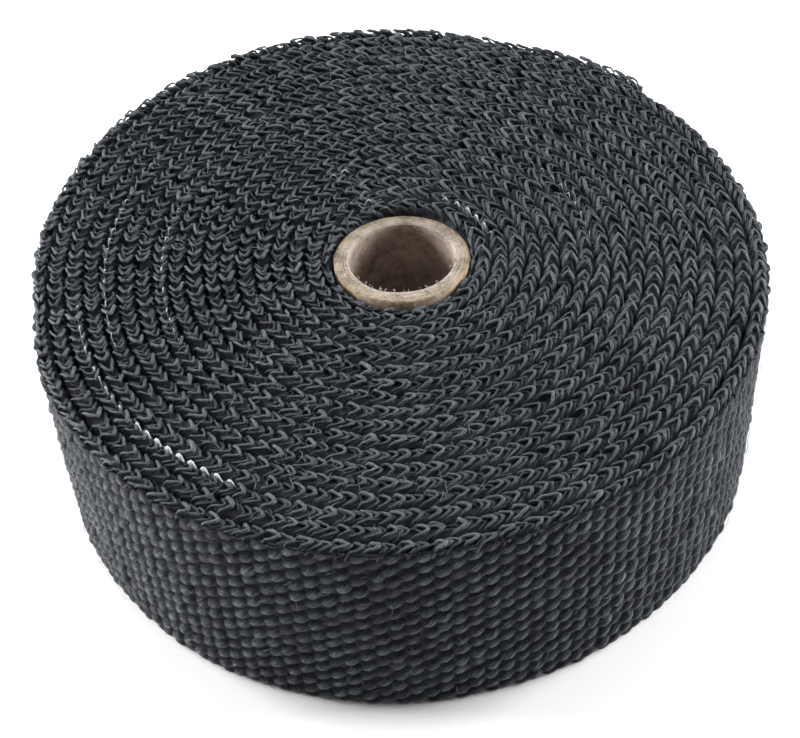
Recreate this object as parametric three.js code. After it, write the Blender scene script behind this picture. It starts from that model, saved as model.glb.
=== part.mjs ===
// Roll of woven glass-fibre heat wrap for exhaust pipes, wound on a paper core.
// The roll stands on its edge face with its axis along +Z. Millimetres, +Z up.
// The origin is on the axis, in the plane that the roll stands on.

import * as THREE from 'three';

// Driving dimensions of the tape. The thickness is that of one wound turn.
const tapeWidth = 50;
const tapeThickness = 3.38;
const turnCount = 18;

// Driving dimensions of the paper core. Its top end lies below the edge of the tape.
const boreRadius = 10.3;
const coreWall = 2.9;
const coreRecess = 2.5;
const boreEdgeRounding = 0.4;

// Room between the core and the first turn.
const windingClearance = 0.3;

// The groove between the edges of two turns, where the loops of the weft curve away from each other.
const edgeGrooveDepth = 1.2;
const edgeGrooveWidth = 1.5;

// Sides of the turned shapes.
const turnedSides = 40;

// Sizes that follow from the driving dimensions.
const coreRadius = boreRadius + coreWall;
const coreLength = tapeWidth - coreRecess;
const windingRadius = coreRadius + windingClearance;

// Turns a closed profile of [radius, height] points about the Z axis. The profile runs outwards
// along the bottom, up the outside, inwards along the top and down the inside, so that every
// face of the turned solid points outwards.
function turnedSolid(profile) {
  const points = [...profile, profile[0]].map(([radius, height]) => new THREE.Vector2(radius, height));
  return new THREE.LatheGeometry(points, turnedSides).rotateX(Math.PI / 2);
}

// The edge of the wound tape from the first turn to the last: each turn's edge is a flat land at
// landHeight, and the bottom of the groove between two turns lies at grooveHeight.
function woundEdge(landHeight, grooveHeight) {
  const edge = [[windingRadius, grooveHeight]];
  for (let turn = 0; turn < turnCount; turn += 1) {
    const turnStart = windingRadius + turn * tapeThickness;
    const turnEnd = turnStart + tapeThickness;
    edge.push([turnStart + edgeGrooveWidth / 2, landHeight]);
    edge.push([turnEnd - edgeGrooveWidth / 2, landHeight]);
    edge.push([turnEnd, grooveHeight]);
  }
  return edge;
}

// The wound tape is one ring whose two ends show the turns.
function tapeRoll() {
  const bottomEdge = woundEdge(0, edgeGrooveDepth);
  const topEdge = woundEdge(tapeWidth, tapeWidth - edgeGrooveDepth);
  const geometry = turnedSolid([...bottomEdge, ...topEdge.reverse()]);
  const wovenGlass = new THREE.MeshStandardMaterial({ color: 0x34383c, roughness: 0.8, metalness: 0 });
  const roll = new THREE.Mesh(geometry, wovenGlass);
  roll.name = 'tape_roll';
  return roll;
}

// The core is a paper tube with flat ends. The edge of its bore is broken at both ends.
function coreTube() {
  const geometry = turnedSolid([
    [boreRadius + boreEdgeRounding, 0],
    [coreRadius, 0],
    [coreRadius, coreLength],
    [boreRadius + boreEdgeRounding, coreLength],
    [boreRadius, coreLength - boreEdgeRounding],
    [boreRadius, boreEdgeRounding],
  ]);
  const kraftBoard = new THREE.MeshStandardMaterial({ color: 0xb69f83, roughness: 0.9, metalness: 0 });
  const core = new THREE.Mesh(geometry, kraftBoard);
  core.name = 'core_tube';
  return core;
}

const wrapRoll = new THREE.Group();
wrapRoll.add(tapeRoll(), coreTube());

export default wrapRoll;
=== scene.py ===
# %% [markdown]
# # A roll of woven exhaust heat wrap
# The real object is one long strip of glass-fibre tape, wound in a spiral on a short paper core.
# The tape is a plain weave of fat, fluffy yarn. Its weft turns back at both edges in open loops, and on
# the end of the roll those loops stand in rows of small chevrons, one row for each turn of the tape.
# The solids fix the sizes. This script dresses them: everything is in metres, in the solids' own frame.

# %% Load the frame and keep its box
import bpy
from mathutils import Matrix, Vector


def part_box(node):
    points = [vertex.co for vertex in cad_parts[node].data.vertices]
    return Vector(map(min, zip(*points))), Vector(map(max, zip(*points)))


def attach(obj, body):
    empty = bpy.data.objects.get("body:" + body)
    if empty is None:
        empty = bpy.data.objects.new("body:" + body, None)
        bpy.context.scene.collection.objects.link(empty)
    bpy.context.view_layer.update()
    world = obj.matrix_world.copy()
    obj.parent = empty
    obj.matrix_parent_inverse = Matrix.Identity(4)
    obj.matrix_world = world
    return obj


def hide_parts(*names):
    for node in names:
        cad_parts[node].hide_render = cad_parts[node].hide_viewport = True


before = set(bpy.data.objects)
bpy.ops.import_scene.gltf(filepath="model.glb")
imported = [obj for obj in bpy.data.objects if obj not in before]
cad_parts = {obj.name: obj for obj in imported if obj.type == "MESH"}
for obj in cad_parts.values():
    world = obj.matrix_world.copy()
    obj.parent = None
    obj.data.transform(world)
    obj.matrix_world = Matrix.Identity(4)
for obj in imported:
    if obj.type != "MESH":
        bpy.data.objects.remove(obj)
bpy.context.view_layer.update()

import math
import bpy
import numpy as np
from mathutils import Matrix

MM = 0.001
ROLL_RADIUS, _, TAPE_WIDTH = np.array(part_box("tape_roll")[1], float) / MM
CORE_RADIUS, _, CORE_LENGTH = np.array(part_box("core_tube")[1], float) / MM
print("roll radius %.1f, tape width %.1f, core radius %.1f, core length %.1f mm"
      % (ROLL_RADIUS, TAPE_WIDTH, CORE_RADIUS, CORE_LENGTH))

# %% [markdown]
# ## Meshes from arrays
# Every new piece is a formula on a grid, so one helper is enough to put the arrays into a mesh.
# `foreach_set` takes whole arrays at once, which is far quicker than adding faces one by one.
# Lengths are worked out in millimetres and turned to metres here, at the last moment.

# %% Put arrays into a mesh object
def add_piece(name, points, quads, uv, shade, caps=None):
    """A mesh object from points (n, 3) in millimetres, quads (m, 4), the uv of each quad corner
    (m, 4, 2), a brightness for each point, and caps, further polygons of equal length (k, c)."""
    caps = np.zeros((0, 3), int) if caps is None else caps
    mesh = bpy.data.meshes.new(name)
    mesh.vertices.add(len(points))
    mesh.vertices.foreach_set("co", (np.asarray(points, float) * MM).ravel())
    corners = np.concatenate([quads.ravel(), caps.ravel()])
    totals = np.concatenate([np.full(len(quads), 4), np.full(len(caps), caps.shape[1])])
    mesh.loops.add(len(corners))
    mesh.loops.foreach_set("vertex_index", corners)
    mesh.polygons.add(len(totals))
    mesh.polygons.foreach_set("loop_start", np.cumsum(totals) - totals)
    mesh.polygons.foreach_set("use_smooth", np.ones(len(totals), bool))
    layer = mesh.uv_layers.new(name="along_the_yarn")
    corner_uv = np.zeros((len(corners), 2))
    corner_uv[:quads.size] = uv.reshape(-1, 2)
    layer.uv.foreach_set("vector", corner_uv.ravel())
    mesh.attributes.new("shade", "FLOAT", "POINT").data.foreach_set("value", np.asarray(shade, float).ravel())
    mesh.update(calc_edges=True)
    mesh.validate()
    piece = bpy.data.objects.new(name, mesh)
    bpy.context.scene.collection.objects.link(piece)
    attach(piece, "root")
    triangles = 2 * len(quads) + len(caps) * (caps.shape[1] - 2)
    print("%-18s %7d triangles, volume %.0f cubic mm" % (name, triangles, signed_volume(mesh)))
    return piece


def signed_volume(mesh):
    """The volume inside a closed mesh in cubic millimetres, from the sum of the tetrahedra that its
    triangles make with the origin. It is positive when the faces point outwards."""
    mesh.calc_loop_triangles()
    corner = np.empty(len(mesh.loop_triangles) * 3, np.int32)
    mesh.loop_triangles.foreach_get("vertices", corner)
    place = np.empty(len(mesh.vertices) * 3)
    mesh.vertices.foreach_get("co", place)
    a, b, c = (place.reshape(-1, 3) / MM)[corner.reshape(-1, 3)].transpose(1, 0, 2)
    return float((a * np.cross(b, c)).sum() / 6)


def sweep_faces(rings, sides, count=1):
    """The quads and end caps of tubes that are each a stack of rings of points, with the uv of
    each corner as (ring, side) numbers. Quad (i, j) joins side j and j + 1 of ring i and i + 1."""
    ring, side, tube = np.meshgrid(np.arange(rings - 1), np.arange(sides), np.arange(count), indexing="ij")
    ring, side, tube = (index.transpose(2, 0, 1) for index in (ring, side, tube))
    start = tube * rings * sides
    following = (side + 1) % sides
    quads = np.stack([start + ring * sides + side, start + ring * sides + following,
                      start + (ring + 1) * sides + following, start + (ring + 1) * sides + side], -1)
    uv = np.stack([np.stack([ring, ring, ring + 1, ring + 1], -1),
                   np.stack([side, side + 1, side + 1, side], -1)], -1).astype(float)
    around = np.arange(sides)
    first = np.arange(count)[:, None] * rings * sides + around[::-1]
    last = np.arange(count)[:, None] * rings * sides + (rings - 1) * sides + around
    return quads.reshape(-1, 4), uv.reshape(-1, 4, 2), np.concatenate([first, last])


TUBE_SHIFT = 0.0137              # each tube starts this much further on in the yarn's pattern, in metres

def tubes(paths, radii, sides, reference):
    """Tubes round many paths at once. paths is (tubes, rings, 3) and radii is (tubes, rings). The
    ring at each path point stands square to the path, and its corners lie at
    centre + radius * (cos a * left + sin a * over), with left = reference x tangent and
    over = tangent x left. The uv is the distance along and round the tube in metres."""
    tangent = np.gradient(paths, axis=1)
    tangent /= np.linalg.norm(tangent, axis=2, keepdims=True)
    left = np.cross(reference, tangent)
    left /= np.linalg.norm(left, axis=2, keepdims=True)
    over = np.cross(tangent, left)
    angle = np.arange(sides) * 2 * np.pi / sides
    ring = (np.cos(angle)[:, None] * left[:, :, None] + np.sin(angle)[:, None] * over[:, :, None])
    points = paths[:, :, None] + radii[:, :, None, None] * ring
    quads, uv, caps = sweep_faces(paths.shape[1], sides, len(paths))
    pace = np.linalg.norm(np.diff(paths, axis=1), axis=2).mean()
    uv = uv * [pace * MM, math.tau * radii.mean() / sides * MM]
    uv[..., 0] += np.repeat(np.arange(len(paths)) * TUBE_SHIFT, len(quads) // len(paths))[:, None]
    return points.reshape(-1, 3), quads, uv, caps

# %% [markdown]
# ## The winding
# A wound tape is a spiral whose radius falls by one thickness for each turn. Here the turns are
# counted from the free end inwards, anticlockwise seen from above, so one number says where along the
# tape a point is. The outside of one turn is what the inside of the turn above it lies on, so a single
# function of that number gives both faces, and the turns can't run into each other.

# %% The spiral
TURNS = 18
FREE_END = math.radians(42)      # where the tape ends, at the back on the right
FIRST_RADIUS = CORE_RADIUS + 1.0
SPIRAL_RADIUS = ROLL_RADIUS + 1.05    # of the spiral's start, before its end is pressed flat
PITCH = (SPIRAL_RADIUS - FIRST_RADIUS) / TURNS
LEAN_FRONT = 1.0                 # how much nearer the front the foot of the winding stands
LEAN_RIGHT = 0.4                 # and how much further right
LOOP_PITCH = 2.93                # one pick of the weft, and so one edge loop
ROW_PITCH = 3.39                 # one bead of the face, up the width of the tape

def hollows(degrees):
    """How far the outermost turn stands out of a true spiral, in mm: three slow waves of the
    angle, and two dents and two bulges that are each a bell curve exp(-(distance / width)^2)."""
    angle = np.radians(degrees)
    bell = lambda centre, width: np.exp(-(((degrees - centre + 180) % 360 - 180) / width) ** 2)
    waves = (0.77 - 1.03 * np.cos(angle) - 0.26 * np.sin(angle)
             + 0.52 * (np.cos(2 * angle) + np.cos(3 * angle)))
    dents = 2.1 * bell(68, 17) + 1.2 * bell(186, 10)
    return waves - dents + 1.2 * bell(130, 25) + 0.8 * bell(48, 24)

def outer_radius(turn):
    """Radius of the outside of the tape in mm at a number of turns from its free end: a spiral
    that loses PITCH a turn and is pressed 1.2 mm flatter at its free end, plus the roll's hollows,
    which fade over four turns, and two faint waves, 4.3 and 11.7 to a turn."""
    turn = np.asarray(turn, float)
    spiral = FIRST_RADIUS + PITCH * (TURNS - turn) - 1.2 * np.exp(-turn / 0.45)
    uneven = 0.10 * np.sin(math.tau * 4.3 * turn) + 0.08 * np.sin(math.tau * 11.7 * turn)
    wound = spiral + hollows(np.degrees(FREE_END) + 360 * turn) * np.exp(-turn / 4) + uneven
    return np.where(turn >= TURNS, FIRST_RADIUS, np.maximum(wound, FIRST_RADIUS))

def looseness(turn):
    """Gap under the tape in mm: small where turns press on each other, and wider behind the
    outermost turn from the free end round to the left, where it stands off the roll."""
    return 0.12 + 0.9 * np.exp(-((np.asarray(turn) - 0.16) / 0.13) ** 2)

def faces_of_tape(turn):
    """Outer and inner radius of the tape at a number of turns from its free end."""
    return outer_radius(turn), outer_radius(np.asarray(turn) + 1) + looseness(turn)

def on_roll(turn, radius, height):
    """The point in mm at a number of turns from the free end, a radius and a height. The winding
    leans a little: its foot stands nearer the front and further right than its top, and less so
    towards the core, as (1 - height / width) * exp(-turn / 6)."""
    angle = FREE_END + math.tau * turn
    lean = (1 - height / TAPE_WIDTH) * np.exp(-turn / 6)
    return np.stack([radius * np.cos(angle) + LEAN_RIGHT * lean,
                     radius * np.sin(angle) - LEAN_FRONT * lean, height + 0 * angle], -1)

turn_samples = np.linspace(0, TURNS, 18001)
middle = sum(faces_of_tape(turn_samples)) / 2
tape_run = np.concatenate([[0], np.cumsum(np.hypot(np.diff(middle),
                          (middle[1:] + middle[:-1]) / 2 * np.diff(turn_samples) * math.tau))])
TAPE_LENGTH = tape_run[-1]
print("tape length %.2f m in %d turns, step at the free end %.1f mm"
      % (TAPE_LENGTH * MM, TURNS, outer_radius(0) - outer_radius(1)))

def turn_at(run):
    """The number of turns from the free end at a distance along the tape in mm."""
    return np.interp(run, tape_run, turn_samples)

# %% [markdown]
# ## The body of the tape
# The tape is a strip about three millimetres thick. One closed outline, the section of the strip with
# its corners cut off, is carried along the whole spiral. It is the dark ground that shows between the
# yarns, and its free end steps down to the turn below as the real one does.

# %% Sweep the strip along the spiral
EDGE_DEPTH = 2.6                 # how far the loops stand above the strip
STRIP_INSET = 0.45               # the yarn stands this far out of the strip's face
COVERED_INSET = STRIP_INSET + 1.0    # the same under the woven face, whose hollows are deep
COVERED_TURNS = 1.03             # the woven face covers one turn, counted from the free end
CORNER_CUT = 0.7
SIDE_UV = 0.005                  # metres of pattern across each side of the strip
SEGMENTS_PER_TURN = 90

def strip_section(outer, inner):
    """The section of the strip as (radius, height) rings: a rectangle with corners cut at 45
    degrees, walked anticlockwise from the bottom of its outer side."""
    low, high, cut = EDGE_DEPTH, TAPE_WIDTH - EDGE_DEPTH, CORNER_CUT
    radius = np.stack([outer, outer, outer - cut, inner + cut, inner, inner, inner + cut, outer - cut], -1)
    height = np.array([low + cut, high - cut, high, high, high - cut, low + cut, low, low])
    return radius, np.broadcast_to(height, radius.shape)

turn = np.linspace(0.0006, TURNS, TURNS * SEGMENTS_PER_TURN + 1)
outer, inner = faces_of_tape(turn)
inset = np.where(turn < COVERED_TURNS, COVERED_INSET, STRIP_INSET)
radius, height = strip_section(outer - inset, inner)
strip_points = on_roll(turn[:, None], radius, height)
quads, uv, caps = sweep_faces(len(turn), radius.shape[1])
uv = uv * [TAPE_LENGTH / len(turn) * MM, SIDE_UV]
strip = add_piece("tape_strip", strip_points.reshape(-1, 3), quads[:, ::-1], uv[:, ::-1],
                  np.zeros(strip_points.shape[:2]), caps[:, ::-1])
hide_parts("tape_roll")

# %% [markdown]
# ## The woven face
# In this plain weave the warp runs round the roll and is so fat that its floats hide the weft. Each
# float is a bead, and the beads lie like bricks: every second column is set off by half a bead. The
# face is a height field over (distance along the tape, height on the tape), with one rounded bead for
# each float.

# %% Beads of the weave
rng = np.random.default_rng(7)
COLUMNS = int(outer_radius(0.5) * math.tau / LOOP_PITCH) + 6
ROWS = int(TAPE_WIDTH / ROW_PITCH) + 4
BEAD_HALF_LENGTH = 1.95
BEAD_HALF_WIDTH = 1.30
bead_size = rng.normal(1, 0.14, (COLUMNS, ROWS))
bead_slide = rng.normal(0, 0.06, (COLUMNS, ROWS, 2))
bead_shade = rng.normal(0, 1, (COLUMNS, ROWS))

def beads(run, rise):
    """Height of the woven face, 0 to about 1, and the shade of the bead there. A bead is
    (1 - u^2 - v^2)^0.55 about its middle, where u runs along the strands of the twisted yarn, at
    45 degrees to the tape, and v across them, each as a share of the bead's half length or half
    width. The highest bead at a place wins."""
    best = np.zeros(np.broadcast(run, rise).shape)
    shade = np.zeros_like(best)
    for step in (-1, 0, 1):
        column = np.clip(np.round(run).astype(int) + step, 0, COLUMNS - 1)
        shift = 0.5 * (column % 2)
        nearest = np.round(rise - shift).astype(int)
        for row in (np.clip(nearest + hop, 0, ROWS - 1) for hop in (-1, 0, 1)):
            slide = bead_slide[column, row]
            x = (run - column - slide[..., 0]) * LOOP_PITCH
            y = (rise - shift - row - slide[..., 1]) * ROW_PITCH
            u, v = 0.71 * (x + y) / BEAD_HALF_LENGTH, 0.71 * (y - x) / BEAD_HALF_WIDTH
            bead = bead_size[column, row] * np.clip(1 - u ** 2 - v ** 2, 0, 1) ** 0.55
            shade = np.where(bead > best, bead_shade[column, row], shade)
            best = np.maximum(best, bead)
    return best, shade

FACE_DEPTH = 1.00                # how deep the hollows between the beads are
FACE_FLOOR = 0.75                # how far the hollows lie inside the outside of the tape
FACE_BACK = 1.6                  # and the back of the skin
SAMPLES = 7                      # samples along and across one bead

def woven_face(name, first_turn, last_turn, below_edge):
    """The outer face of the outermost turn between two places on the tape, as a closed skin: the
    beads from the bottom edge to a distance below the top one, and two plain points behind them.
    They flatten towards the foot, and the top stands out by a lip, exp(-(distance / 2)^2) / 2.
    The shade rises with the square of the relief: painted shade in the hollows and a painted highlight on the
    crests of the beads."""
    first_run, last_run = np.interp([first_turn, last_turn], turn_samples, tape_run)
    steps = int((last_run - first_run) / LOOP_PITCH * SAMPLES)
    run = np.linspace(first_run, last_run, steps)
    rows = int((TAPE_WIDTH - below_edge) / ROW_PITCH * SAMPLES)
    height = np.linspace(0.5, TAPE_WIDTH - below_edge, rows)
    turn = turn_at(run)[:, None]
    relief, shade = beads((run / LOOP_PITCH + 2)[:, None], (height / ROW_PITCH)[None] + 1)
    lip = 0.5 * np.exp(-((TAPE_WIDTH - height) / 2.0) ** 2)
    calm = 1 - 0.6 * np.exp(-(height / 1.2) ** 2)
    radius = outer_radius(turn) - FACE_FLOOR + FACE_DEPTH * relief * calm + lip
    back = outer_radius(turn) - FACE_BACK + 0 * height[:2]
    profile = np.concatenate([radius, back], 1)
    levels = np.concatenate([height, [TAPE_WIDTH - 3.0, 1.9]])
    points = on_roll(turn, profile, levels)
    # A random tone for each bead, plus painted shade in the hollows and a painted highlight on the crests.
    tone = 0.2 * shade + 4.2 * np.minimum(relief, 0.95) ** 2 - 2.2
    tone = np.concatenate([tone, 0 * shade[:, :2]], 1)
    quads, uv, caps = sweep_faces(steps, rows + 2)
    uv = uv * [LOOP_PITCH / SAMPLES * MM, ROW_PITCH / SAMPLES * MM]
    piece = add_piece(name, points.reshape(-1, 3), quads[:, ::-1], uv[:, ::-1], tone, caps[:, ::-1])
    return piece

face_pieces = [
    woven_face("woven_face_back", 0.0, 0.5, 1.9),
    woven_face("woven_face_front", 0.5, 1.0, 1.3),
]

# %% [markdown]
# ## The edge loops
# At each edge the weft comes up one face of the tape, crosses it and goes down the other, and every
# loop is pulled along the tape by the next one, so from above a turn is a chain of chevrons that all
# point the same way. A loop is one short curve of a single parameter; all of them are made at once.

# %% Chevron loops on both edges
YARN_RADIUS = 0.31
SUNK = 0.6                       # how much lower the loops lie that show between the others
CORE_SLIP = 1.2                  # how far the innermost turn has slipped down the core

def loop_curves(half, rings, sink):
    """Loops in their own frame, as (loops, rings, 3) along, across and above the tape, in mm. With
    t from -1 to 1 and s = |t|, rounded at 0: along = 1.3 - 3.5 s, across = half tanh(1.4 t) /
    tanh(1.4), and above falls slowly to s = 0.66 and then steeply down the face of the tape. Every
    second loop lies lower, because the picks of a plain weave take turns."""
    count = len(half)
    t = np.linspace(-1, 1, rings)[None]
    s = np.sqrt(t ** 2 + 0.012)
    jitter = lambda spread: rng.normal(0, spread, (count, 1))
    odd = (np.arange(count) % 2)[:, None]
    along = 1.3 - 3.5 * s * (1 + jitter(0.12)) + jitter(0.30) + jitter(0.45) * t
    across = half[:, None] * np.tanh(1.4 * t) / math.tanh(1.4)
    across = across * (1 - 0.06 * odd + jitter(0.07)) + jitter(0.13)
    above = jitter(0.15) - 0.28 * odd - 0.60 * s - 12 * np.clip(s - 0.66, 0, 1) ** 1.6 - sink
    above = above + (0.10 + jitter(0.22)) * t
    crimp = rng.normal(0, 0.055, (count, rings, 3))       # the blown yarn is bulky and uneven
    return np.stack([along, across, above], -1) + crimp

def edge_loops(name, first_turn, last_turn, top, rings, sides, sink=0.0):
    """All loops of one edge between two places on the tape, set in the tape's frame of the
    tangent, the outward normal and the upward axis, which is turned over at the bottom edge. Sunk
    loops lie that many mm deeper, halfway between the others. The loops of the outermost turn are
    pressed narrower, where the woven face covers their ends, and so are the lower ones. None
    reaches below the floor."""
    first_run, last_run = np.interp([first_turn, last_turn], turn_samples, tape_run)
    run = np.arange(math.ceil(first_run / LOOP_PITCH) + 1, math.floor(last_run / LOOP_PITCH)) * LOOP_PITCH
    run = run + (LOOP_PITCH / 2 if sink else 0)
    turn = turn_at(run)
    outer, inner = faces_of_tape(turn)
    pressed = np.where(turn < 1, 0.45, 0.15) + (0.0 if top else 0.4)
    local = loop_curves((outer - inner) / 2 - pressed, rings, sink)
    upward = 1.0 if top else -1.0
    edge_height = TAPE_WIDTH - YARN_RADIUS + 0.1 if top else YARN_RADIUS - 0.05
    settled = CORE_SLIP * np.exp(-(TURNS - turn) / 0.9)[:, None]
    middle = (outer + inner) / 2 + 0.08
    place = turn[:, None] + local[..., 0] / middle[:, None] / math.tau
    radius = (middle + outer_radius(place.T) - outer).T + local[..., 1]
    height = edge_height + upward * (local[..., 2] - settled)
    height = np.clip(height, 1.5 * YARN_RADIUS, TAPE_WIDTH)
    paths = on_roll(place, radius, height)
    angle = FREE_END + math.tau * turn
    tangent = np.stack([-np.sin(angle), np.cos(angle), 0 * angle], -1)
    reference = (-0.6 * tangent + [0, 0, 0.8 * upward])[:, None]
    t = np.linspace(-1, 1, rings)
    odd = (np.arange(len(run)) % 2)[:, None]
    uneven = 1 - 0.12 * odd + rng.normal(0, 0.12, (len(run), 1)) + rng.normal(0, 0.10, (len(run), rings))
    girth = YARN_RADIUS * (1.0 - 0.22 * t + 0.12 * np.cos(4 * t)) * uneven
    points, quads, uv, caps = tubes(paths, girth, sides, reference)
    depth = np.clip(-local[..., 2], 0, 3)
    # A random tone for each loop, plus painted shade: darker down the legs, on every second, lower loop, and
    # on the sunk loops.
    shade = rng.normal(0, 0.5, (len(run), 1)) + 1.1 - 0.5 * odd - 0.5 * depth - 1.4 * sink
    piece = add_piece(name, points, quads, uv, np.repeat(shade, sides), caps)
    print("  %d loops" % len(run))
    return piece

loop_pieces = [
    edge_loops("edge_loops_outer", 0.0, 7.0, True, 13, 6),
    edge_loops("edge_loops_inner", 7.0, TURNS - 0.02, True, 13, 6),
    edge_loops("edge_loops_sunk", 0.0, TURNS - 0.02, True, 9, 5, SUNK),
    edge_loops("edge_loops_under", 0.0, TURNS - 0.02, False, 8, 4),
]

# %% [markdown]
# ## White tracer threads and stray fibres
# A few white threads run along one edge of the tape. They dip under every loop, so they surface as
# a row of dashes, and only where the tape leans the right way. Each is a tube whose height is a wave.
# Blown glass yarn also sheds: short bright fibres lie across the edge, stand off the face and fray
# out of the cut end.

# %% Tracer threads
TRACER_DEPTH = 0.95              # of the middle of the wave below the edge of the tape

def tracer(first_degrees, last_degrees, radius, girth):
    """The path and radii of a thread between two angles that follows the spiral at about a radius
    in mm. Its height is a cosine wave with one crest between every two loops."""
    part = (first_degrees - math.degrees(FREE_END)) % 360 / 360
    whole = np.arange(TURNS)
    start = part + whole[np.argmin(np.abs(outer_radius(part + whole) - PITCH / 2 - radius))]
    span = (last_degrees - first_degrees) / 360
    turn = np.linspace(start, start + span, 160)
    level = outer_radius(turn) - outer_radius(start + span / 2) + radius
    run = np.interp(turn, turn_samples, tape_run)
    wave = np.cos(math.tau * run / LOOP_PITCH)
    height = TAPE_WIDTH - TRACER_DEPTH + 0.75 * wave
    sway = 0.12 * np.sin(math.tau * run / LOOP_PITCH)
    fade = np.sin(np.linspace(0.05, math.pi - 0.05, len(turn))) ** 0.4
    return on_roll(turn, level + sway, height), girth * fade * (0.85 + 0.15 * wave)

# The values are the first and last angle in degrees, the radius and the thread's own radius.
tracer_paths, tracer_girths = zip(
    tracer(-174, -134, 65.5, 0.15), tracer(-143, -118.5, 65.1, 0.42),
    tracer(144, 202, 60.1, 0.12), tracer(153, 205, 48.4, 0.12), tracer(0, 44, 38.3, 0.08),
    tracer(106, 121, 28.1, 0.14), tracer(14, 62, 18.6, 0.20), tracer(106, 119, 17.3, 0.12))
points, quads, uv, caps = tubes(np.array(tracer_paths), np.array(tracer_girths), 6,
                                np.array([0.0, 0.0, 1.0]))
tracer_threads = add_piece("tracer_threads", points, quads, uv, rng.normal(0, 1, len(points)), caps)

# %% Stray fibres
def arcs(centre, heading, lift_axis, length, bend, rings=7, lift=1.2):
    """Curved fibres as (fibres, rings, 3): each runs along its heading through its centre, bends
    sideways as a parabola and rises by lift * (1/4 - t^2), with t from -1/2 to 1/2."""
    t = np.linspace(-0.5, 0.5, rings)[None, :, None]
    side = np.cross(lift_axis, heading)
    return (centre[:, None] + heading[:, None] * length[:, None, None] * t
            + side[:, None] * bend[:, None, None] * t ** 2 * 4
            + lift_axis[:, None] * (0.25 - t ** 2) * lift)

FIBRE_RINGS = 5
FIBRE_SIDES = 3

def fibres_on_top(count):
    """Fibres that lie across the loops in any direction. The root of an even draw spreads them
    evenly over the end of the roll."""
    reach = np.sqrt(rng.uniform((FIRST_RADIUS / ROLL_RADIUS) ** 2, 0.985, count)) * ROLL_RADIUS
    turn = (FIRST_RADIUS + PITCH * TURNS - reach) / PITCH
    turn = np.clip(np.round(turn) + rng.uniform(0, 1, count), 0.01, TURNS - 0.3)
    radius = outer_radius(turn) - rng.uniform(0.6, 3.0, count)
    centre = on_roll(turn, radius, TAPE_WIDTH - rng.uniform(0.25, 0.9, count))
    lean = rng.uniform(0, math.tau, count)
    heading = np.stack([np.cos(lean), np.sin(lean), 0.10 * rng.normal(0, 1, count)], -1)
    upward = np.broadcast_to([0.0, 0.0, 1.0], heading.shape)
    paths = arcs(centre, heading, upward, rng.uniform(1.0, 3.8, count), rng.normal(0, 0.35, count),
                 FIBRE_RINGS)
    paths[..., 2] = np.minimum(paths[..., 2], TAPE_WIDTH + 0.3)
    return paths

def fibres_on_face(count, frayed):
    """Fibres that stand off the outermost turn, leaning up along the twist of the yarn. The first
    ones, as many as are frayed, hang out of the cut end of the tape."""
    turn = np.concatenate([rng.uniform(-0.005, 0.004, frayed), rng.uniform(0.01, 0.99, count - frayed)])
    height = rng.uniform(1.5, TAPE_WIDTH - 2, count)
    angle = FREE_END + math.tau * turn
    outward = np.stack([np.cos(angle), np.sin(angle), 0 * angle], -1)
    onward = np.stack([-np.sin(angle), np.cos(angle), 0 * angle], -1)
    lean = np.concatenate([rng.normal(math.pi, 0.45, frayed), rng.normal(0.9, 0.5, count - frayed)])
    heading = np.cos(lean)[:, None] * onward + np.sin(lean)[:, None] * [0.0, 0.0, 1.0]
    proud = np.where(np.arange(count) < frayed, rng.uniform(-1.8, 0.2, count), rng.uniform(0.2, 0.5, count))
    centre = on_roll(turn, outer_radius(turn) + proud, height)
    return arcs(centre, heading, outward, rng.uniform(1.5, 4.0, count), rng.normal(0, 0.3, count),
                FIBRE_RINGS)

fibre_paths = np.concatenate([fibres_on_top(1500), fibres_on_face(760, 260)])
taper = np.array([0.4, 1, 1, 1, 0.4])
girths = rng.uniform(0.025, 0.050, (len(fibre_paths), 1)) * taper
points, quads, uv, caps = tubes(fibre_paths, girths, FIBRE_SIDES, np.array([0.31, 0.22, 0.93]))
fibre_shade = np.repeat(rng.normal(0, 1, len(fibre_paths)), FIBRE_RINGS * FIBRE_SIDES)
stray_fibres = add_piece("stray_fibres", points, quads, uv, fibre_shade, caps)

# %% [markdown]
# ## The paper core
# The core is kraft paper wound into a tube: plies of paper glued on top of each other, then sawn to
# length, so the end shows thin rings of torn fibre and the bore is smooth and browner.
# A turned profile is not enough, so the rim's height and radius carry the plies and the saw's tearing.

# %% A layered paper tube
RIM_RADIUS = CORE_RADIUS + 0.6   # the outside of the paper, which has swollen a little
BORE_RADIUS = CORE_RADIUS - 2.4  # with a wall of 3 mm
PLY = 0.45                       # thickness of one layer of paper
CUT_SLANT = 1.4                  # the cut isn't square: its front stands this far above its middle
THICKER_FRONT = 0.15             # the bore lies this far off the axis, so the wall is thicker in front
AROUND = 360                     # points round the tube
SECTION_UV = 0.0005              # metres of pattern for each step round the section

def ripple(angle, waves, seed):
    """A smooth random closed curve of the angle: a sum of sines with whole wave numbers."""
    draw = np.random.default_rng(seed)
    phase = draw.uniform(0, math.tau, len(waves))
    weight = draw.uniform(0.5, 1, len(waves)) / np.sqrt(len(waves))
    return (weight * np.sin(np.asarray(waves) * angle[..., None] + phase)).sum(-1)

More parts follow.
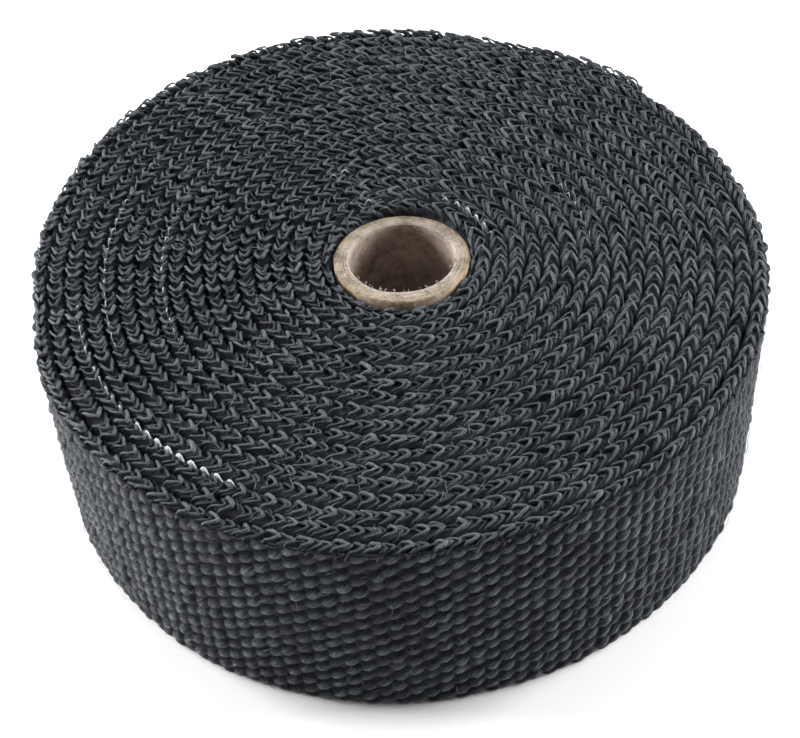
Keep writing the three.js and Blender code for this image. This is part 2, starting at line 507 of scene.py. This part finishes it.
angle = np.arange(AROUND) * math.tau / AROUND
rim = np.linspace(0, 1, 27)                       # from the bore out over the sawn end
bore_levels = np.linspace(1.5, CORE_LENGTH - 1.8, 24)
plies = BORE_RADIUS + rim * (RIM_RADIUS - BORE_RADIUS)
ply_wave = np.cos(math.tau * (plies - BORE_RADIUS) / PLY)
draw = np.random.default_rng(3)
tear = draw.normal(0, 1, (AROUND, len(rim)))
tear = (tear + np.roll(tear, 1, 0) + np.roll(tear, -1, 0)) / 3
crown = 0.35 * (1 - (2 * rim - 1) ** 6)
slant = -CUT_SLANT * np.sin(angle)[:, None] * plies / RIM_RADIUS
rim_top = (CORE_LENGTH + 0.8 + slant + crown + 0.04 * ply_wave + 0.07 * tear
           + 0.16 * ripple(angle, [2, 3, 5, 8], 5)[:, None] * (1 - rim))
rim_radius = plies + 0.05 * tear * (rim < 0.15)
wall_radius = BORE_RADIUS + 0.05 * ripple(angle, [1, 2, 3, 7], 9)
outside = np.full((AROUND, 1), RIM_RADIUS)
section_radius = np.concatenate([
    np.repeat(wall_radius[:, None], len(bore_levels), 1), rim_radius,
    outside, outside, np.repeat(plies[None, ::-2], AROUND, 0)], 1)
foot_height = 0.05 + 0.05 * ply_wave[::-2] + 0.05
section_height = np.concatenate([
    np.repeat(bore_levels[None], AROUND, 0), rim_top,
    np.full((AROUND, 1), CORE_LENGTH - 1.5), np.full((AROUND, 1), 1.0),
    np.repeat(foot_height[None], AROUND, 0)], 1)
x = section_radius * np.cos(angle)[:, None]
y = section_radius * np.sin(angle)[:, None]
y = y + THICKER_FRONT * (RIM_RADIUS - section_radius) / (RIM_RADIUS - BORE_RADIUS)
core_points = np.stack([x, y, section_height], -1)
across = core_points.shape[1]
i, j = np.meshgrid(np.arange(AROUND), np.arange(across), indexing="ij")
following_i, following_j = (i + 1) % AROUND, (j + 1) % across
core_quads = np.stack([i * across + j, i * across + following_j,
                       following_i * across + following_j, following_i * across + j], -1).reshape(-1, 4)
core_uv = np.stack([np.stack([i, i, i + 1, i + 1], -1) * (math.tau * BORE_RADIUS / AROUND * MM),
                    np.stack([j, j + 1, j + 1, j], -1) * SECTION_UV], -1).reshape(-1, 4, 2)
# The shade tells the material where it is: 0 to 0.3 up the bore, 1 to 2 over the sawn end, 2 outside.
rim_tone = np.zeros(core_points.shape[:2])
rim_tone[:, len(bore_levels):len(bore_levels) + len(rim)] = 1 + rim
rim_tone[:, len(bore_levels) + len(rim):] = 2
rim_tone[:, :len(bore_levels)] = np.clip((bore_levels - 30) / 60, 0, 1)
core = add_piece("paper_core", core_points.reshape(-1, 3), core_quads, core_uv, rim_tone)
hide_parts("core_tube")

# %% Torn paper fibres on the rim
count = 34
around = rng.uniform(math.pi, math.tau, count)
spot = rng.choice([0.0, 0.1, 0.9], count, p=[0.6, 0.2, 0.2])
radius = BORE_RADIUS + spot * (RIM_RADIUS - BORE_RADIUS)
foot = np.stack([radius * np.cos(around), radius * np.sin(around),
                 CORE_LENGTH + 0.9 - 1.2 * np.sin(around)], -1)
inward = np.stack([-np.cos(around), -np.sin(around), 0 * around], -1) * rng.normal(0.6, 0.5, (count, 1))
heading = inward + rng.normal(0, 0.5, (count, 3)) + [0, 0, 0.6]
heading /= np.linalg.norm(heading, axis=1, keepdims=True)
tuft_paths = arcs(foot + heading * 0.3, heading, np.broadcast_to([0.0, 0.0, 1.0], heading.shape),
                  rng.uniform(0.4, 1.0, count), rng.normal(0, 0.2, count))
tuft_girths = rng.uniform(0.04, 0.08, (count, 1)) * np.array([1, 1, 1, 0.9, 0.8, 0.6, 0.3])
points, quads, uv, caps = tubes(tuft_paths, tuft_girths, 4, np.array([0.31, 0.22, 0.93]))
paper_fibres = add_piece("paper_fibres", points, quads, uv, np.full(len(points), 1.0), caps)

# %% [markdown]
# ## Materials from nodes
# Each finish starts from what it is made of. Colours are picked as sRGB hex values and turned to
# linear in one place, and every pattern's scale comes from a real size.

# %% Node helpers
def linear(hex_colour):
    """An sRGB hex colour as linear RGBA: c / 12.92 below 0.04045, else ((c + 0.055) / 1.055) ** 2.4."""
    srgb = np.array([int(hex_colour[k:k + 2], 16) / 255 for k in (1, 3, 5)])
    rgb = np.where(srgb <= 0.04045, srgb / 12.92, ((srgb + 0.055) / 1.055) ** 2.4)
    return (*map(float, rgb), 1.0)

def new_material(name):
    """A material with an empty node tree, its output and its shader."""
    material = bpy.data.materials.new(name)
    material.use_nodes = True
    material.node_tree.nodes.clear()
    output = add_node(material, "ShaderNodeOutputMaterial")
    shader = add_node(material, "ShaderNodeBsdfPrincipled")
    material.node_tree.links.new(shader.outputs["BSDF"], output.inputs["Surface"])
    return material, shader

def add_node(material, kind, links=(), inputs=(), **settings):
    """Add a node with its settings, its input values and its links, each (input, output socket)."""
    node = material.node_tree.nodes.new(kind)
    for key, value in settings.items():
        setattr(node, key, value)
    for key, value in dict(inputs).items():
        node.inputs[key].default_value = value
    for key, socket in dict(links).items():
        material.node_tree.links.new(socket, node.inputs[key])
    return node

def set_ramp(node, stops):
    """Give a colour ramp its stops, each (position, hex colour)."""
    ramp = node.color_ramp
    while len(ramp.elements) < len(stops):
        ramp.elements.new(0.5)
    for element, (position, colour) in zip(ramp.elements, stops):
        element.position = position
        element.color = linear(colour)

# %% Texturised glass yarn
PATCHES_PER_METRE = 70.0         # uneven dyeing, in soft areas some 14 mm across

def glass_yarn(name, tones, along, strand, lean, gloss, sheen=0.12, sheen_roughness=0.25):
    """Charcoal glass filament, blown so that it is bulky: a dark surface of fine strands that lie
    along the yarn and give it a faint silky shine. along and strand are the strands' length and
    width in mm, and lean is the angle of their twist. Real filaments are far finer than the
    picture can show, so these are bundles of them. The shade of each yarn moves it along tones."""
    material, shader = new_material(name)
    uv = add_node(material, "ShaderNodeUVMap", uv_map="along_the_yarn")
    stretch = add_node(material, "ShaderNodeMapping", {"Vector": uv.outputs["UV"]},
                       {"Scale": (along * MM, strand * MM, 1), "Rotation": (0, 0, lean)},
                       vector_type="TEXTURE")
    strands = add_node(material, "ShaderNodeTexNoise", {"Vector": stretch.outputs["Vector"]},
                       {"Scale": 1.0, "Detail": 5.0, "Roughness": 0.72, "Distortion": 0.6})
    place = add_node(material, "ShaderNodeTexCoord")
    patches = add_node(material, "ShaderNodeTexNoise", {"Vector": place.outputs["Object"]},
                       {"Scale": PATCHES_PER_METRE, "Detail": 3.0})
    tone = add_node(material, "ShaderNodeAttribute", attribute_name="shade")
    yarn = add_node(material, "ShaderNodeMath", {0: tone.outputs["Fac"], 2: strands.outputs["Fac"]},
                    {1: 0.07}, operation="MULTIPLY_ADD")
    total = add_node(material, "ShaderNodeMath", {0: patches.outputs["Fac"], 2: yarn.outputs[0]},
                     {1: 0.3}, operation="MULTIPLY_ADD")
    colour = add_node(material, "ShaderNodeValToRGB", {"Fac": total.outputs[0]})
    set_ramp(colour, tones)
    relief = add_node(material, "ShaderNodeBump", {"Height": strands.outputs["Fac"]},
                      {"Strength": 1.0, "Distance": 0.32 * MM})
    links = material.node_tree.links
    links.new(colour.outputs["Color"], shader.inputs["Base Color"])
    links.new(relief.outputs["Normal"], shader.inputs["Normal"])
    shader.inputs["Roughness"].default_value = 0.5
    shader.inputs["Specular IOR Level"].default_value = gloss
    shader.inputs["Sheen Weight"].default_value = sheen
    shader.inputs["Sheen Roughness"].default_value = sheen_roughness
    return material

edge_tones = [(0.36, "#1b1e23"), (0.56, "#2a2f35"), (0.76, "#3f454c"), (0.98, "#687078")]
# The face's tones are darker than the loops' throughout: painted shade, because the wall gets no light from
# the front.
face_tones_with_painted_shade = [(0.46, "#0c0e13"), (0.62, "#1f2329"), (0.77, "#3e4349"), (0.94, "#73797f")]
finishes = {
    # Blown yarn at the edge, clean and loose: charcoal with a soft grey shine on every bend, and painted
    # shade down the legs, on every second loop and on the sunk loops.
    "loops": glass_yarn("texturised_glass_yarn", edge_tones, 2.2, 0.20, 0.30, 0.35),
    # The same yarn packed in the weave, in painted shade darker than the loops, as the wall gets no light
    # from the front: near black painted shade in the hollows, with a pale bloom at a low angle.
    "face": glass_yarn("woven_glass_yarn_face", face_tones_with_painted_shade, 2.4, 0.30, 0.8, 0.12, 0.5, 0.15),
    # The tape's inner faces, which only show in the gaps: dull and even, so they read as depth.
    "ground": glass_yarn("glass_yarn_in_shade", [(0.4, "#1c2025"), (0.9, "#43484f")], 1.2, 0.25, 0.0, 0.3),
    # Undyed glass thread, smoother and finer: small bright dashes between the dark loops.
    "tracer": glass_yarn("white_glass_tracer", [(0.4, "#868b8d"), (0.7, "#bfc3c3"), (1.0, "#e4e6e4")],
                         1.5, 0.15, 0.5, 0.5),
    # Single broken filaments catch the light, so they are paler than the yarn that they left.
    "stray": glass_yarn("stray_glass_fibre", [(0.3, "#34393f"), (0.65, "#62676e"), (1.0, "#a6abb0")],
                        1.5, 0.4, 0.0, 0.6),
}
strip.data.materials.append(finishes["ground"])
tracer_threads.data.materials.append(finishes["tracer"])
stray_fibres.data.materials.append(finishes["stray"])
for piece in loop_pieces:
    piece.data.materials.append(finishes["loops"])
for piece in face_pieces:
    piece.data.materials.append(finishes["face"])
print("yarn finishes:", ", ".join(finishes))

# %% Sawn kraft board
BLOTCHES_PER_METRE = 240.0       # damp and pulp stains about 4 mm across
PULP_PER_METRE = 1800.0          # clumps of fibre of about half a millimetre

def kraft_board(name):
    """Unbleached recycled paper: matte, with paler and darker rings where the saw cut through the
    plies, blotches of paler and darker pulp, and a browner bore, where no saw has torn it. The shade
    leads from the colours of the bore, at 0, to the sawn ones, at 1, and warms them towards 2."""
    material, shader = new_material(name)
    place = add_node(material, "ShaderNodeTexCoord")
    flat = add_node(material, "ShaderNodeVectorMath", {0: place.outputs["Object"]}, {1: (1, 1, 0)},
                    operation="MULTIPLY")
    radius = add_node(material, "ShaderNodeVectorMath", {0: flat.outputs["Vector"]}, operation="LENGTH")
    plies = add_node(material, "ShaderNodeTexNoise", {"W": radius.outputs["Value"]},
                     {"Scale": 1 / (PLY * MM), "Detail": 2.0}, noise_dimensions="1D")
    blotches = add_node(material, "ShaderNodeTexNoise", {"Vector": place.outputs["Object"]},
                        {"Scale": BLOTCHES_PER_METRE, "Detail": 6.0, "Roughness": 0.75})
    pulp = add_node(material, "ShaderNodeTexNoise", {"Vector": place.outputs["Object"]},
                    {"Scale": PULP_PER_METRE, "Detail": 3.0, "Roughness": 0.8})
    grain = add_node(material, "ShaderNodeMath", {0: pulp.outputs["Fac"], 2: blotches.outputs["Fac"]},
                     {1: 0.6}, operation="MULTIPLY_ADD")
    layered = add_node(material, "ShaderNodeMath", {0: plies.outputs["Fac"], 2: grain.outputs[0]},
                       {1: 0.25}, operation="MULTIPLY_ADD")
    sawn = add_node(material, "ShaderNodeValToRGB", {"Fac": layered.outputs[0]})
    set_ramp(sawn, [(0.58, "#5f564e"), (0.82, "#83796f"), (1.0, "#a79d91")])
    inside = add_node(material, "ShaderNodeValToRGB", {"Fac": grain.outputs[0]})
    set_ramp(inside, [(0.55, "#62534c"), (0.95, "#a59489")])
    tone = add_node(material, "ShaderNodeAttribute", attribute_name="shade")
    colour = add_node(material, "ShaderNodeMix", {0: tone.outputs["Fac"]}, data_type="RGBA")
    outward = add_node(material, "ShaderNodeMath", {0: tone.outputs["Fac"]}, {1: 1.3}, operation="SUBTRACT",
                       use_clamp=True)
    warm = add_node(material, "ShaderNodeMix", {0: outward.outputs[0]}, {"B": linear("#f6e4c6")},
                    data_type="RGBA", blend_type="MULTIPLY")
    relief = add_node(material, "ShaderNodeBump", {"Height": layered.outputs[0]},
                      {"Strength": 0.9, "Distance": 0.2 * MM})
    links = material.node_tree.links
    links.new(inside.outputs["Color"], colour.inputs["A"])
    links.new(sawn.outputs["Color"], colour.inputs["B"])
    links.new(colour.outputs["Result"], warm.inputs["A"])
    links.new(warm.outputs["Result"], shader.inputs["Base Color"])
    links.new(relief.outputs["Normal"], shader.inputs["Normal"])
    shader.inputs["Roughness"].default_value = 0.9
    shader.inputs["Specular IOR Level"].default_value = 0.25
    return material

board = kraft_board("sawn_kraft_board")
core.data.materials.append(board)
paper_fibres.data.materials.append(board)
print("board finish:", board.name)

# %% [markdown]
# ## Stage, light and camera
# The photograph is taken in a bright light tent: a white ground, broad soft light from both sides, a
# little from behind and above, and none from the front, so the wall is darkest in its middle. The
# camera was fitted to the outlines of the roll and its core.

# %% A plain pale floor
floor_mesh = bpy.data.meshes.new("floor")
FLOOR_HALF = 3.0
floor_mesh.from_pydata([(-FLOOR_HALF, -FLOOR_HALF, 0), (FLOOR_HALF, -FLOOR_HALF, 0),
                        (FLOOR_HALF, FLOOR_HALF, 0), (-FLOOR_HALF, FLOOR_HALF, 0)], [], [(0, 1, 2, 3)])
floor = bpy.data.objects.new("floor", floor_mesh)
bpy.context.scene.collection.objects.link(floor)
floor_finish, floor_shader = new_material("white_paper_ground")
floor_shader.inputs["Base Color"].default_value = linear("#fbfbfb")
floor_shader.inputs["Roughness"].default_value = 0.9
floor.data.materials.append(floor_finish)
print("floor %.0f m across" % (2 * FLOOR_HALF))

# %% Soft light from both sides, from behind and from above
def softbox(name, place, size, watts, target=(0, 0, 0.03)):
    """A square area light at a place in metres, facing the target."""
    light = bpy.data.lights.new(name, "AREA")
    light.size = size
    light.energy = watts
    lamp = bpy.data.objects.new(name, light)
    lamp.location = place
    direction = np.array(place) - np.array(target)
    lamp.rotation_euler = (math.atan2(math.hypot(direction[0], direction[1]), direction[2]),
                           0, math.atan2(direction[0], -direction[1]))
    bpy.context.scene.collection.objects.link(lamp)
    return lamp

softbox("left_softbox", (-1.10, 0.38, 0.33), 0.7, 42)
softbox("right_softbox", (1.12, 0.25, 0.33), 0.7, 38)
softbox("back_softbox", (0.0, 1.25, 0.60), 0.8, 5)
softbox("top_softbox", (0.0, 0.10, 1.8), 1.6, 13)

world = bpy.data.worlds.new("light_tent")
world.use_nodes = True
background = world.node_tree.nodes["Background"]
background.inputs["Color"].default_value = linear("#ffffff")
background.inputs["Strength"].default_value = 0.13
bpy.context.scene.world = world
bpy.context.scene.view_settings.view_transform = "Standard"

# %% The camera
IMAGE_WIDTH = 800
FOCAL_PIXELS = 1748.2            # focal length in pixels of that width
CAMERA_DISTANCE = 377.5 * MM
CAMERA_ELEVATION = math.radians(48.32)
CAMERA_ROLL = math.radians(-3.18)
AIM_HEIGHT = 14.9 * MM
AIM_SIDE = -1.60 * MM             # the core lies a little right of the middle of the picture
camera_data = bpy.data.cameras.new("camera")
camera_data.sensor_width = 36.0
camera_data.lens = FOCAL_PIXELS * camera_data.sensor_width / IMAGE_WIDTH
camera_data.clip_start = 0.01
camera = bpy.data.objects.new("camera", camera_data)
camera.location = (AIM_SIDE, -CAMERA_DISTANCE * math.cos(CAMERA_ELEVATION),
                   AIM_HEIGHT + CAMERA_DISTANCE * math.sin(CAMERA_ELEVATION))
tilt = Matrix.Rotation(math.pi / 2 - CAMERA_ELEVATION, 4, "X") @ Matrix.Rotation(CAMERA_ROLL, 4, "Z")
camera.rotation_euler = tilt.to_euler()
bpy.context.scene.collection.objects.link(camera)
bpy.context.scene.camera = camera
print("lens %.1f mm at %.0f mm" % (camera_data.lens, CAMERA_DISTANCE / MM))

# %% Finish
bpy.context.view_layer.update()
